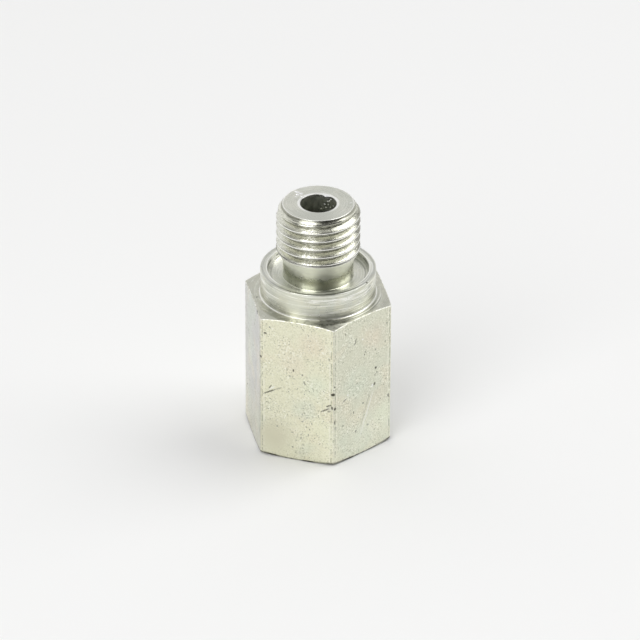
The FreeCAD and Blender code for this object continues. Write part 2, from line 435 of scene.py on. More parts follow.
# Marks on two of the hexagon's sides and the corners beside them: the place sideways and up, the length,
# width and depth, the length's turn from level in degrees, and the shade.
FRONT_MARKS = [
    (-5.5, 23.3, 0.55, 0.36, 0.09, 0, 1),
    (-4.7, 24.6, 0.34, 0.3, 0.06, 0, 1),
    (-5.35, 24.7, 0.5, 0.3, 0.03, 0, 0.3),
    (-0.6, 17.1, 0.34, 0.58, 0.08, 0, 0.8),
    (-1.2, 15.9, 0.5, 0.28, 0.06, -20, 0.55),
    (0.95, 16.5, 0.36, 0.36, 0.06, 0, 0.7),
    (1.3, 15.1, 0.8, 0.2, 0.04, -50, 0.6),
    (-4.75, 12.3, 2.8, 0.27, 0.08, 29, 0.85),
    (-3.2, 13.15, 1.6, 0.26, 0.05, 26, 0.45),
    (-4.3, 13.1, 1.5, 0.3, 0.03, 38, -0.5),
    (-4.6, 13.25, 1.1, 0.24, 0.05, 56, 0.7),
    (-1.4, 13.3, 0.9, 0.26, 0.03, 0, 0.35),
    (5.6, 10.95, 1.3, 0.95, 0.1, 32, 0.12),
    (4.8, 10.5, 1.9, 0.28, 0.06, 30, 0.8),
    (5.5, 11.5, 1.2, 0.28, 0.04, 28, 0.85),
    (6.1, 11.15, 0.28, 0.8, 0.04, 0, 0.85),
    (5.6, 10.4, 0.9, 0.22, 0.04, 10, 0.6),
    (-6.25, 18.7, 0.42, 0.5, 0.1, 0, 0.9),
    (1.15, 10.2, 0.24, 0.4, 0.05, 0, 0.5),
    (2.3, 11.0, 0.28, 0.34, 0.05, 0, 0.5),
    (1.3, 12.9, 0.24, 0.4, 0.04, 0, 0.6),
    (0.95, 9.0, 0.36, 0.3, 0.05, 0, 0.5),
    (1.0, 7.6, 0.62, 0.3, 0.05, 45, 0.5),
    (1.1, 3.1, 0.6, 0.26, 0.05, 40, 0.4),
    (-3.4, 5.9, 0.5, 0.26, 0.05, 0, 0.5),
    (-0.7, 2.4, 0.5, 0.24, 0.04, 0, 0.6),
    (-0.8, 5.2, 0.5, 0.22, 0.04, 0, 0.6),
    (2.2, 6.3, 0.3, 0.3, 0.05, 0, 0.6),
    (2.0, 5.2, 0.24, 0.5, 0.04, 0, 0.6),
    (2.6, 7.5, 0.24, 0.4, 0.04, 0, 0.6),
]
RIGHT_MARKS = [
    (-1.5, 22.1, 1.2, 0.3, 0.07, 80, 0.6),
    (-1.8, 21.6, 0.6, 0.26, 0.04, 50, 0.6),
    (0.0, 21.9, 0.4, 0.36, 0.04, 0, -0.6),
    (0.6, 19.2, 0.34, 0.34, 0.05, 0, 0.7),
    (0.4, 18.8, 0.4, 0.26, 0.05, 0, 0.7),
    (2.9, 18.9, 0.3, 0.26, 0.05, 0, 0.7),
    (2.95, 15.3, 0.55, 0.42, 0.08, 0, 0.9),
    (3.2, 14.4, 0.3, 0.3, 0.05, 0, 0.7),
    (2.7, 12.3, 0.7, 0.5, 0.09, 64, 0.7),
    (2.2, 12.2, 0.8, 0.36, 0.04, 64, -0.6),
    (5.8, 8.9, 0.4, 0.7, 0.09, 0, 0.9),
    (-3.9, 11.7, 1.2, 0.22, 0.05, 30, 0.8),
    (-3.2, 12.5, 0.4, 0.3, 0.04, 0, -0.6),
    (0.2, 9.6, 0.4, 0.3, 0.05, 0, 0.7),
    (-1.9, 8.6, 0.22, 0.7, 0.05, 0, 0.7),
    (1.3, 5.0, 0.5, 0.45, 0.05, 0, 0.5),
    (-1.4, 4.8, 0.34, 0.32, 0.06, 0, 0.8),
    (1.0, 7.4, 9.0, 0.4, 0.04, 69, -0.38),
    (0.6, 8.0, 8.5, 0.4, 0.035, 71, 0.3),
    (0.35, 5.6, 6.0, 0.3, 0.05, 71, -0.3),
    (-6.1, 15.1, 0.34, 0.34, 0.07, 0, 1),
    (-6.3, 13.7, 0.66, 0.62, 0.13, 0, 1),
    (-6.0, 10.9, 0.5, 0.62, 0.1, 0, 1),
    (-6.05, 8.3, 0.26, 1.0, 0.06, 0, 0.8),
    (-5.85, 7.2, 0.5, 0.7, 0.05, 0, 0.4),
    (5.3, 22.9, 0.4, 0.4, 0.04, 0, 0.5),
    (5.0, 19.6, 0.4, 0.4, 0.04, 0, 0.5),
]
# Marks on the tip: the angle round the axis, the radius, the length, width and depth, and the shade. The
# one at 82 degrees is a painted highlight on the burr.
TIP_MARKS = [
    (152, 5.05, 0.52, 1.0, 0.2, -1),
    (159, 4.4, 0.52, 0.8, 0.2, -1),
    (150, 4.25, 0.52, 0.9, 0.2, -1),
    (159, 3.5, 0.55, 0.6, 0.16, -1),
    (168, 4.2, 0.3, 0.6, 0.04, -0.8),
    (143, 3.2, 1.5, 0.36, 0.04, -1),
    (82, 2.75, 1.3, 0.7, 0.03, -1),
    (20, 5.3, 0.3, 0.6, 0.03, -0.6),
]


def other_marks():
    """Marks on the left side, the shoulder, the collar and the tip."""
    return [
        on_flat(210, 0.45, 17.4, 0.4, 0.3, 0.06, 0, 1),
        on_flat(210, -4.4, 7.1, 0.4, 0.3, 0.06, 0, 1),
        on_turning(229.9, 11.8, 26.1, 0.6, 0.4, 0.08),
        on_turning(209.6, 10.2, HEX_LENGTH, 0.3, 0.3, 0.06),
        on_turning(345.8, 9.45, RIM_HEIGHT, 0.42, 0.3, 0.08, inwards=(-0.7, -0.7)),
    ] + [on_turning(angle, radius, TIP_HEIGHT, *sizes, shade=shade)
         for angle, radius, *sizes, shade in TIP_MARKS]


def bore_chips():
    """Small chips in the far wall of the bore, near its mouth. Their bright colour is painted glints."""
    places = [(65, 42.3), (75, 41.2), (83, 40.55), (77, 41.75), (67, 40.8), (99, 40.2), (55, 41.3),
              (60, 40.4), (71, 41.95), (88, 41.1)]
    return [on_turning(angle, BORE_RADIUS, height, 0.34, 0.34, 0.12, inwards=(1, 0),
                       shade=-0.9 if index % 3 == 0 else -0.3)
            for index, (angle, height) in enumerate(places)]


def marks():
    """The dents, pits and scratches that handling left, in millimetres."""
    front = [on_flat(270, *sizes) for sizes in FRONT_MARKS]
    right = [on_flat(330, *sizes) for sizes in RIGHT_MARKS]
    return front + right + other_marks() + bore_chips()


def spans(places, mark):
    """How far places are from a mark's middle: along it, across it and into it, in millimetres."""
    offset = places - np.array(mark.middle)
    return [np.abs(offset @ np.array(way)) for way in (mark.along, mark.across, mark.inwards)]


def press_marks(work):
    """Divides the mesh finely round each mark and pushes the mark in. Works in millimetres."""
    shade = work.verts.layers.float.new("mark")
    verts = list(work.verts)
    places = np.array([vert.co for vert in verts])
    edges = {}
    pressed = marks()
    for mark in pressed:
        along, across, deep = spans(places, mark)
        near_along = along < mark.length / 2 + MARK_MARGIN
        near_across = across < mark.width / 2 + MARK_MARGIN
        for index in np.flatnonzero(near_along & near_across & (deep < MARK_REACH)):
            for face in verts[index].link_faces:
                edges.update({edge: None for edge in face.edges if edge.calc_length() > MARK_CELL})
    bmesh.ops.subdivide_edges(work, edges=list(edges), cuts=MARK_CUTS, use_grid_fill=True)

    verts = list(work.verts)
    places = np.array([vert.co for vert in verts])
    for mark in pressed:
        along, across, deep = spans(places, mark)
        inside = 1 - (2 * along / mark.length) ** 2 - (2 * across / mark.width) ** 2
        for index in np.flatnonzero((inside > 0) & (deep < MARK_REACH)):
            verts[index].co += mark.inwards * mark.depth * float(inside[index])
            value = mark.shade * min(1, MARK_STEEPNESS * float(inside[index]))
            if abs(value) > abs(verts[index][shade]):
                verts[index][shade] = value


def make_adapter(materials):
    """Joins the patches into one closed mesh with a material for each kind of surface."""
    points, faces, kinds = [], [], []
    names = list(materials)
    for rows, patch_faces, material in build_rows():
        start = len(points)
        radii = rows[..., 0]
        columns = np.broadcast_to(AROUND, radii.shape + (2,))
        flat = np.concatenate([columns * radii[..., None], rows[..., 1:]], axis=-1).reshape(-1, 3)
        points.extend(flat.tolist())
        faces.extend([[start + corner for corner in face] for face in patch_faces])
        kinds.extend([names.index(material)] * len(patch_faces))
    mesh = bpy.data.meshes.new("adapter")
    mesh.from_pydata(points, [], faces)
    mesh.polygons.foreach_set("material_index", kinds)
    for material in materials.values():
        mesh.materials.append(material)
    work = bmesh.new()
    work.from_mesh(mesh)
    bmesh.ops.remove_doubles(work, verts=work.verts, dist=WELD_DISTANCE)
    bmesh.ops.recalc_face_normals(work, faces=work.faces)
    loose = [vert for vert in work.verts if not vert.link_faces]
    bmesh.ops.delete(work, geom=loose, context="VERTS")
    press_marks(work)
    bmesh.ops.scale(work, vec=(MM, MM, MM), verts=work.verts)
    work.to_mesh(mesh)
    work.free()
    mesh.shade_smooth()
    adapter = bpy.data.objects.new("adapter", mesh)
    bpy.context.scene.collection.objects.link(adapter)
    weighted = adapter.modifiers.new("even shading", "WEIGHTED_NORMAL")
    weighted.keep_sharp = False
    weighted.weight = 50
    return adapter


class Nodes:
    """Adds nodes to a node tree. Each method gives the socket that holds the result."""

    def __init__(self, tree):
        self.tree = tree

    def feed(self, socket, value):
        """Links a node's output to a socket, or sets the socket to a number, place or colour."""
        if isinstance(value, bpy.types.NodeSocket):
            self.tree.links.new(value, socket)
        elif socket.type == "RGBA":
            socket.default_value = (*value, 1)
        else:
            socket.default_value = value

    def node(self, kind, *values, output=0, **settings):
        """A new node of this kind, with its settings, and the values fed to its first sockets."""
        node = self.tree.nodes.new("ShaderNode" + kind)
        for name, setting in settings.items():
            setattr(node, name, setting)
        for socket, value in zip(node.inputs, values):
            self.feed(socket, value)
        return node.outputs[output]

    def math(self, operation, *values):
        return self.node("Math", *values, operation=operation)

    def times(self, first, second):
        return self.math("MULTIPLY", first, second)

    def plus(self, first, second):
        return self.math("ADD", first, second)

    def minus(self, first, second):
        return self.math("SUBTRACT", first, second)

    def mapped(self, value, low, high, to_low=0.0, to_high=1.0):
        """A smooth step from to_low, where the value is low, to to_high, where it is high."""
        return self.node("MapRange", value, low, high, to_low, to_high, interpolation_type="SMOOTHSTEP")


class Metal(Nodes):
    """The node tree of one bare or plated metal. Places in it are in millimetres."""

    def __init__(self, name, color):
        self.color = color
        self.material = bpy.data.materials.new(name)
        self.material.use_nodes = True
        super().__init__(self.material.node_tree)
        self.shader = self.tree.nodes["Principled BSDF"]
        self.shader.inputs["Metallic"].default_value = 1.0
        scaled = self.tree.nodes.new("ShaderNodeVectorMath")
        scaled.operation = "SCALE"
        self.feed(scaled.inputs[0], self.node("TexCoord", output="Object"))
        scaled.inputs["Scale"].default_value = 1 / MM
        self.place = scaled.outputs[0]
        self.x, self.y, self.z = self.node("SeparateXYZ", self.place).node.outputs
        squares = self.plus(self.times(self.x, self.x), self.times(self.y, self.y))
        self.radius = self.math("SQRT", squares)

    def noise(self, size, vector=None, detail=2.0, roughness=0.5, fourth=None):
        """Noise whose grains are about size millimetres across."""
        node = self.tree.nodes.new("ShaderNodeTexNoise")
        node.noise_dimensions = "3D" if fourth is None else "4D"
        self.feed(node.inputs["Vector"], self.place if vector is None else vector)
        node.inputs["Scale"].default_value = 1 / size
        node.inputs["Detail"].default_value = detail
        node.inputs["Roughness"].default_value = roughness
        if fourth is not None:
            self.feed(node.inputs["W"], fourth)
        return node.outputs["Fac"]

    def clouds(self, size, low, high, to_low=0.0, to_high=1.0, **kind):
        """Noise with grains of this size, stepped smoothly as in mapped."""
        return self.mapped(self.noise(size, **kind), low, high, to_low, to_high)

    def rings(self, spacing, breaks):
        """Noise drawn out round the axis, as turning leaves it. Breaks is how often it changes round."""
        length = spacing * breaks
        cosine = self.math("DIVIDE", self.x, self.radius)
        sine = self.math("DIVIDE", self.y, self.radius)
        vector = self.node("CombineXYZ", self.radius, self.z, self.times(cosine, length))
        return self.noise(spacing, vector, detail=3, fourth=self.times(sine, length))

    def along(self, degrees):
        """Distance from the axis, measured along a level direction."""
        angle = math.radians(degrees)
        return self.plus(self.times(self.x, math.cos(angle)), self.times(self.y, math.sin(angle)))

    def facing(self, normal_degrees):
        """1 on the two of the hexagon's sides that face this way or away from it, 0 elsewhere."""
        distance = self.math("ABSOLUTE", self.along(normal_degrees))
        return self.mapped(distance, HEX_APOTHEM - 0.07, HEX_APOTHEM - 0.01)

    def band(self, value, middle, half_width):
        """1 where the value is at the middle of a band, 0 outside it."""
        away = self.math("ABSOLUTE", self.minus(value, middle))
        return self.mapped(away, half_width, half_width * 0.4)

    def patch(self, place, reach):
        """A soft round patch: 1 at a place in millimetres and 0 from reach away."""
        distance = self.node("VectorMath", self.place, place, operation="DISTANCE", output="Value")
        return self.mapped(distance, reach, 0.15 * reach)

    def paint(self, coat, where, strength=None):
        """Lays a coat of another colour where the mask is 1, thinner where the strength is less."""
        if strength is not None:
            where = self.times(where, strength)
        node = self.tree.nodes.new("ShaderNodeMix")
        node.data_type = "RGBA"
        self.feed(node.inputs[0], where)
        self.feed(node.inputs[6], self.color)
        self.feed(node.inputs[7], coat)
        self.color = node.outputs[2]

    def paint_marks(self):
        """Darkens the pits of the mesh and brightens its fresh nicks, the burr's painted highlight and
        the painted glints of the chips in the bore.
        """
        shade = self.node("Attribute", attribute_name="mark", output="Fac")
        self.paint((0.07, 0.07, 0.05), self.mapped(shade, 0.02, 0.95, 0, 0.92))
        self.paint((1, 1, 1), self.mapped(shade, -0.02, -0.8, 0, 0.9))

    def spin(self, amount):
        """Draws the gloss out across the turning lines."""
        self.shader.inputs["Anisotropic"].default_value = amount
        self.shader.inputs["Anisotropic Rotation"].default_value = 0.25
        self.feed(self.shader.inputs["Tangent"], self.node("Tangent", direction_type="RADIAL", axis="Z"))

    def finish(self, roughness, height, depth):
        """Feeds the shader. Depth is the height of the bumps in millimetres."""
        bump = self.tree.nodes.new("ShaderNodeBump")
        bump.inputs["Distance"].default_value = depth * MM
        self.feed(bump.inputs["Height"], height)
        self.feed(self.shader.inputs["Normal"], bump.outputs[0])
        self.feed(self.shader.inputs["Base Color"], self.color)
        self.feed(self.shader.inputs["Roughness"], roughness)
        return self.material


# The radius where the rounding of the long corners begins, 28.4 degrees from a flat's middle.
SEAM_RADIUS = HEX_APOTHEM / math.cos(math.radians(28.4))

# Colours that several materials share.
BRIGHT = (1.0, 1.0, 0.94)
BURNISH_AND_HIGHLIGHT = (1.0, 1.0, 0.95)
LINE_GREY = (0.3, 0.31, 0.27)
SHADE_GREEN = (0.42, 0.44, 0.36)
SPECK_BROWN = (0.3, 0.3, 0.22)

# Tinted patches of the film on the hexagon: place, reach, colour and strength. The last two, pale low on
# the right side and darker low on the left side, are painted light and painted shade.
FILM_AND_LIGHT_PATCHES = [
    ((2.6, -11, 22.5), 3.6, (0.8, 0.7, 0.56), 0.45),
    ((-0.6, -11, 18.5), 3.4, (0.8, 0.72, 0.58), 0.4),
    ((-3.8, -11, 4.5), 4.5, (0.58, 0.54, 0.4), 0.4),
    ((3.4, -11, 14.6), 3.6, (0.74, 0.82, 0.66), 0.45),
    ((3.6, -11, 6.0), 4.5, (0.88, 0.88, 0.67), 0.5),
    ((10.9, -3.2, 21.5), 3.8, (0.74, 0.67, 0.55), 0.5),
    ((8.9, -6.6, 14.0), 4.2, (0.68, 0.76, 0.64), 0.45),
    ((11.2, -2.6, 10.0), 4.0, (0.74, 0.69, 0.56), 0.4),
    ((12.0, -1.2, 6.0), 3.4, (0.82, 0.87, 0.7), 0.5),
    ((9.5, -5.5, 2.5), 5.5, (0.95, 0.95, 0.8), 0.5),
    ((-9.5, -5.5, 3.5), 6.0, (0.58, 0.57, 0.5), 0.3),
]


def lay_film_and_painted_light(metal):
    """Cream on the front side, greener on the right, greyer on the left, and paler towards the foot as
    painted light.
    """
    metal.paint((0.83, 0.82, 0.63), metal.facing(270))
    metal.paint((0.72, 0.725, 0.59), metal.facing(330))
    metal.paint((0.585, 0.585, 0.56), metal.facing(210))
    # Painted light: the sides grow paler towards the foot.
    metal.paint((0.93, 0.93, 0.76), metal.mapped(metal.z, 12, 1, 0, 0.48))
    for place, reach, coat, strength in FILM_AND_LIGHT_PATCHES:
        metal.paint(coat, metal.patch(place, reach), strength)
    metal.paint((0.86, 0.77, 0.6), metal.clouds(5, 0.5, 0.7, 0, 0.3))
    metal.paint((0.68, 0.74, 0.63), metal.clouds(6.5, 0.52, 0.7, 0, 0.4, detail=1))


def paint_hexagon_ends(metal):
    """A painted highlight on the edge under the upper chamfer, and painted shade round the foot."""
    drop = metal.times(metal.minus(metal.radius, CHAMFER_RADIUS), CHAMFER_SLOPE)
    from_top = metal.minus(metal.minus(HEX_LENGTH, drop), metal.z)
    from_foot = metal.minus(metal.z, drop)
    # Painted highlight along the edge under the upper chamfer.
    wear_and_highlight = metal.times(metal.mapped(from_top, 0.17, 0.08), metal.clouds(0.5, 0.42, 0.56, detail=3))
    metal.paint(BRIGHT, wear_and_highlight, 0.85)
    # Painted shade along the foot, broken by noise.
    foot_shade = metal.times(metal.mapped(from_foot, 0.34, 0.2), metal.clouds(1.5, 0.35, 0.62, 0.5, 1))
    metal.paint((0.05, 0.05, 0.035), foot_shade)


def make_drawn():
    """The hexagon's sides: drawn steel under zinc, speckled, with a cream to grey passivation film."""
    metal = Metal("drawn", (0.71, 0.7, 0.58))
    lay_film_and_painted_light(metal)

    # Grains and specks, which lie in clusters and leave one patch of the front side plain.
    clusters = metal.clouds(2.4, 0.38, 0.6, 0.45, 1, detail=1)
    clusters = metal.times(clusters, metal.minus(1, metal.patch((-4.2, -11, 3.5), 5)))
    grain = metal.noise(0.27, roughness=0.55)
    dark_grains = metal.times(metal.mapped(grain, 0.5, 0.3), clusters)
    pale_grains = metal.times(metal.mapped(grain, 0.51, 0.7), clusters)
    pale_strength = metal.minus(0.75, metal.times(metal.facing(210), 0.42))
    metal.paint((0.47, 0.47, 0.36), dark_grains, 0.58)
    metal.paint((1.0, 1.0, 0.9), pale_grains, pale_strength)
    specks = metal.times(metal.clouds(0.3, 0.7, 0.78, detail=0), clusters)
    metal.paint(SPECK_BROWN, specks, 0.6)

    # A broken dark seam on each side of a long corner, with a shine beside it.
    seam = metal.times(metal.band(metal.radius, SEAM_RADIUS, 0.05),
                       metal.clouds(1.1, 0.42, 0.6, detail=3, roughness=0.65))
    metal.paint(SPECK_BROWN, seam, 0.65)
    shine = metal.times(metal.band(metal.radius, SEAM_RADIUS - 0.13, 0.07),
                        metal.clouds(1.7, 0.4, 0.6, detail=3))
    metal.paint((0.97, 0.96, 0.84), shine, 0.5)
    paint_hexagon_ends(metal)
    metal.paint_marks()

    height = metal.plus(metal.minus(grain, specks), metal.times(seam, -0.6))
    roughness = metal.plus(metal.clouds(1.6, 0.3, 0.7, 0.28, 0.4), metal.times(specks, 0.2))
    return metal.finish(roughness, height, 0.006)


def turned_metal(name, first, second, line_strength):
    """A turned surface with rings round the axis: gives the metal and its height."""
    metal = Metal(name, first)
    fine = metal.rings(0.12, 2)
    broad = metal.rings(0.36, 1.2)
    dark = tuple(0.7 * part for part in first)
    metal.paint(second, metal.clouds(2.2, 0.35, 0.7))
    metal.paint(dark, metal.mapped(fine, 0.42, 0.64, 0, 0.4 * line_strength))
    metal.paint((0.88, 0.89, 0.8), metal.mapped(broad, 0.5, 0.64, 0, 0.35 * line_strength))
    metal.paint(dark, metal.mapped(broad, 0.46, 0.34, 0, 0.3 * line_strength))
    pale_lines = metal.band(metal.rings(0.5, 0.7), 0.53, 0.03)
    metal.paint(BRIGHT, pale_lines, 0.8 * line_strength)
    dark_lines = metal.times(metal.band(metal.rings(0.7, 0.6), 0.47, 0.024), metal.clouds(3, 0.4, 0.6))
    metal.paint(LINE_GREY, dark_lines, 0.6 * line_strength)
    metal.paint((0.28, 0.28, 0.23), metal.clouds(0.22, 0.68, 0.75, detail=1), 0.45)
    return metal, metal.plus(fine, metal.times(broad, 2))


def paint_rim(metal):
    """The collar's rim: pale, with a painted highlight on its inner edge and a scored line that is
    darkest in front.
    """
    on_rim = metal.mapped(metal.z, RIM_HEIGHT - 0.1, RIM_HEIGHT - 0.05)
    metal.paint((0.86, 0.87, 0.85), on_rim, 0.35)
    # Painted highlight along the rim's inner edge.
    inner_edge = metal.times(metal.band(metal.radius, RECESS_MOUTH_RADIUS + 0.08, 0.18), on_rim)
    metal.paint(BRIGHT, inner_edge, 0.7)
    scored = metal.times(metal.band(metal.radius, 9.15, 0.24), on_rim)
    in_front = metal.plus(0.3, metal.times(metal.patch((2.9, -8.7, RIM_HEIGHT), 10), 0.7))
    metal.paint((0.13, 0.135, 0.11), scored, in_front)


# Scored rings on the right of the shoulder: radius and colour.
SHOULDER_RINGS = [
    (9.95, LINE_GREY),
    (10.25, BURNISH_AND_HIGHLIGHT),
    (10.5, (0.36, 0.36, 0.32)),
]


def paint_shoulder(metal):
    """The shoulder: dull, scored on the right, with painted shade in front, partly in blotches, and a
    painted highlight along the foot of the collar.
    """
    on_shoulder = metal.mapped(metal.z, HEX_LENGTH + 0.1, HEX_LENGTH + 0.02)
    worn_dull = metal.clouds(0.9, 0.35, 0.65, 0.5, 1, detail=3)
    metal.paint((0.59, 0.59, 0.51), on_shoulder, worn_dull)
    scored_side = metal.times(metal.patch((9.4, -3.5, HEX_LENGTH), 9), on_shoulder)
    for radius, shade in SHOULDER_RINGS:
        score = metal.times(metal.band(metal.radius, radius, 0.13), scored_side)
        metal.paint(shade, score, 0.75)
    # Painted shade in front, broken into blotches.
    blotched_shade = metal.clouds(0.9, 0.5, 0.6, detail=3, roughness=0.6)
    blotched_shade = metal.times(metal.times(blotched_shade, on_shoulder), metal.patch((1.9, -10.3, HEX_LENGTH), 7.5))
    metal.paint((0.24, 0.24, 0.2), blotched_shade, 0.85)
    # A painted highlight along the foot of the collar, fainter in front.
    foot_line = metal.times(metal.band(metal.radius, COLLAR_RADIUS + 0.1, 0.14),
                            metal.mapped(metal.z, HEX_LENGTH + 0.2, HEX_LENGTH + 0.1))
    not_in_front = metal.minus(0.9, metal.times(metal.patch((3.6, -9.0, HEX_LENGTH), 6), 0.9))
    metal.paint(BURNISH_AND_HIGHLIGHT, foot_line, not_in_front)
    # Painted shade on the front of the shoulder.
    metal.paint((0.26, 0.26, 0.22), metal.patch((1.6, -10.0, HEX_LENGTH), 3), 0.45)


def make_turned():
    """Collar, shoulder and end face: plated and satin, with turning lines."""
    metal, height = turned_metal("turned", (0.65, 0.665, 0.575), (0.74, 0.735, 0.6), 1.0)
    paint_rim(metal)
    paint_shoulder(metal)
    # Painted light on the front left of the collar.
    metal.paint((0.95, 0.95, 0.78), metal.patch((-1.8, -9.3, 28.8), 4.5), 0.35)
    metal.paint_marks()
    roughness = metal.clouds(1.1, 0.3, 0.7, 0.27, 0.36)
    metal.spin(0.6)
    return metal.finish(roughness, height, 0.0016)


def paint_seal_recess(metal):
    """The seal recess: a scored floor, painted shade on its wall with a darker line round it and more at
    the right, and a painted highlight at the back left.
    """
    on_floor = metal.mapped(metal.z, FLOOR_HEIGHT + 0.06, FLOOR_HEIGHT + 0.02)
    scored = metal.times(metal.band(metal.radius, 7.75, 0.14), on_floor)
    metal.paint(LINE_GREY, scored, 0.5)
    # Painted shade on the wall of the recess.
    on_wall = metal.mapped(metal.radius, RECESS_FLOOR_RADIUS - 0.06, RECESS_FLOOR_RADIUS - 0.02)
    metal.paint(LINE_GREY, on_wall, 0.24)
    # Painted highlight in the recess at the back left.
    metal.paint((1.0, 1.0, 0.93), metal.patch((-7.7, 2.7, 30.1), 5), 0.9)
    # More painted shade on the wall at the right.
    right_wall_shade = metal.times(metal.patch((6.6, 5.0, 30.3), 5), on_wall)
    metal.paint(LINE_GREY, right_wall_shade, 0.55)
    # A line of painted shade round the wall, broken by noise.
    wall_line = metal.times(metal.band(metal.z, FLOOR_HEIGHT + 0.7, 0.2), on_wall)
    broken = metal.clouds(2.5, 0.4, 0.58, 0.2, 0.85)
    metal.paint((0.1, 0.105, 0.085), wall_line, broken)


def paint_cone(metal):
    """The cone under the thread: pale, with painted shade on its front right and on the front of the
    neck, a painted highlight on the bead and painted shade in the gap.
    """
    on_cone = metal.mapped(metal.z, NECK_TOP - 0.6, NECK_TOP + 0.8)
    metal.paint((0.86, 0.87, 0.76), on_cone)
    # Painted shade on the front right of the cone and on the front of the neck near its foot.
    metal.paint((0.45, 0.46, 0.38), metal.patch((4.6, -4.1, FLOOR_HEIGHT + 3.4), 4), 0.22)
    metal.paint(SHADE_GREEN, metal.patch((1.8, -5.5, FLOOR_HEIGHT + 0.7), 3.4), 0.26)
    # Painted highlight on the bead.
    metal.paint(BRIGHT, metal.band(metal.z, BEAD_HEIGHT - 0.01, 0.12))
    # Painted shade in the gap under the thread, broken by noise.
    in_gap = metal.mapped(metal.z, BEAD_HEIGHT + 0.05, BEAD_HEIGHT + 0.1)
    broken = metal.clouds(1.3, 0.36, 0.56, 0.6, 1, detail=3)
    metal.paint((0.1, 0.1, 0.08), in_gap, broken)


def make_recess():
    """Cone, neck and seal recess: bright smooth turning, glossiest at the foot of the neck."""
    metal, height = turned_metal("recess", (0.67, 0.68, 0.6), (0.73, 0.73, 0.63), 0.45)
    on_neck = metal.mapped(metal.radius, NECK_RADIUS + 0.12, NECK_RADIUS + 0.04)
    metal.paint((0.85, 0.86, 0.75), on_neck)
    # Painted shade on the left of the neck.
    metal.paint(SHADE_GREEN, metal.patch((-4.8, -3.2, FLOOR_HEIGHT + 2), 4.5), 0.6)
    paint_seal_recess(metal)
    paint_cone(metal)
    up_neck = metal.mapped(metal.z, FLOOR_HEIGHT + 1.1, NECK_TOP + 0.3)
    duller = metal.plus(metal.times(metal.minus(1, on_neck), 0.12), metal.times(up_neck, 0.24))
    roughness = metal.plus(metal.clouds(0.9, 0.3, 0.7, 0.15, 0.21), duller)
    metal.spin(0.7)
    return metal.finish(roughness, height, 0.0008)


def make_faced():
    """The faced tip: painted shade in front, a bright worn ring round the bore and a bright edge."""
    metal, height = turned_metal("faced", (0.67, 0.68, 0.61), (0.73, 0.73, 0.65), 0.3)
    round_bore = metal.band(metal.radius, BORE_RADIUS + 0.16, 0.4)
    wear_and_highlight = metal.clouds(2.2, 0.3, 0.6, 0.55, 1)
    metal.paint((1.0, 1.0, 0.97), round_bore, wear_and_highlight)
    # Painted shade on the front of the tip face.
    metal.paint((0.6, 0.61, 0.55), metal.patch((1.4, -4.3, TIP_HEIGHT), 5))
    outer_edge = metal.mapped(metal.radius, TIP_RADIUS - 0.16, TIP_RADIUS - 0.06)
    metal.paint((0.95, 0.95, 0.9), outer_edge)
    metal.paint_marks()
    roughness = metal.clouds(1.1, 0.3, 0.7, 0.24, 0.32)
    metal.spin(0.6)
    return metal.finish(roughness, height, 0.001)


def make_threaded():
    """The cut thread: ridged flanks with painted light at the left and painted shade on their outer parts
    and in the roots, a stripe of painted glints, and crests that are burnished and carry a painted
    highlight.
    """
    metal = Metal("threaded", (0.72, 0.72, 0.61))
    ridges = metal.rings(0.13, 7)
    tears = metal.noise(0.32, roughness=0.6)
    metal.paint((0.9, 0.9, 0.78), metal.mapped(tears, 0.3, 0.7))
    metal.paint((0.34, 0.34, 0.27), metal.mapped(ridges, 0.5, 0.36, 0, 0.4))
    metal.paint((1.0, 1.0, 0.92), metal.mapped(ridges, 0.54, 0.66, 0, 0.6))
    # Painted light on the left side of the thread.
    metal.paint((0.97, 0.98, 0.92), metal.patch((-6.6, -2.1, 38.5), 7), 0.4)

    # Painted glints lie in a stripe that runs up the front. Painted shade darkens the outer flanks in
    # front and at the right, between the glints.
    stripe = metal.times(metal.band(metal.along(4), 0, 1.5), metal.mapped(metal.along(274), 2, 5))
    glints = metal.times(stripe, metal.clouds(0.27, 0.49, 0.57, detail=1))
    metal.paint(BURNISH_AND_HIGHLIGHT, glints)
    in_front = metal.mapped(metal.along(277), 4.2, 6.0, 0.12, 1)
    at_right = metal.mapped(metal.along(22), 5.8, 6.6, 0, 1.25)
    flank_shade = metal.minus(metal.math("MAXIMUM", in_front, at_right), glints)
    outer_flank = metal.mapped(metal.radius, CREST_RADIUS - 0.5, CREST_RADIUS - 0.22, 0.24, 0.5)
    metal.paint((0.2, 0.2, 0.16), outer_flank, flank_shade)
    # Painted shade deep in the roots of the groove.
    root = metal.mapped(metal.radius, CREST_RADIUS - 0.72, CREST_RADIUS - 0.86, 0, 0.75)
    metal.paint((0.3, 0.3, 0.24), root)
    # The crests are burnished, and their bright colour is also a painted highlight.
    crest = metal.mapped(metal.radius, CREST_RADIUS - 0.06, CREST_RADIUS - 0.02)
    metal.paint(BURNISH_AND_HIGHLIGHT, crest)

    # The crests and the lead-in cone are smoother than the flanks.
    height = metal.plus(ridges, metal.times(tears, 0.7))
    below_lead_in = metal.mapped(metal.z, TIP_HEIGHT - 0.7, TIP_HEIGHT - 1.3, 0.25, 1)
    off_crest = metal.plus(metal.times(metal.minus(1, crest), 0.85), 0.15)
    height = metal.times(metal.times(height, below_lead_in), off_crest)
    roughness = metal.minus(metal.clouds(0.6, 0.3, 0.7, 0.18, 0.28), metal.times(crest, 0.07))
    return metal.finish(roughness, height, 0.034)


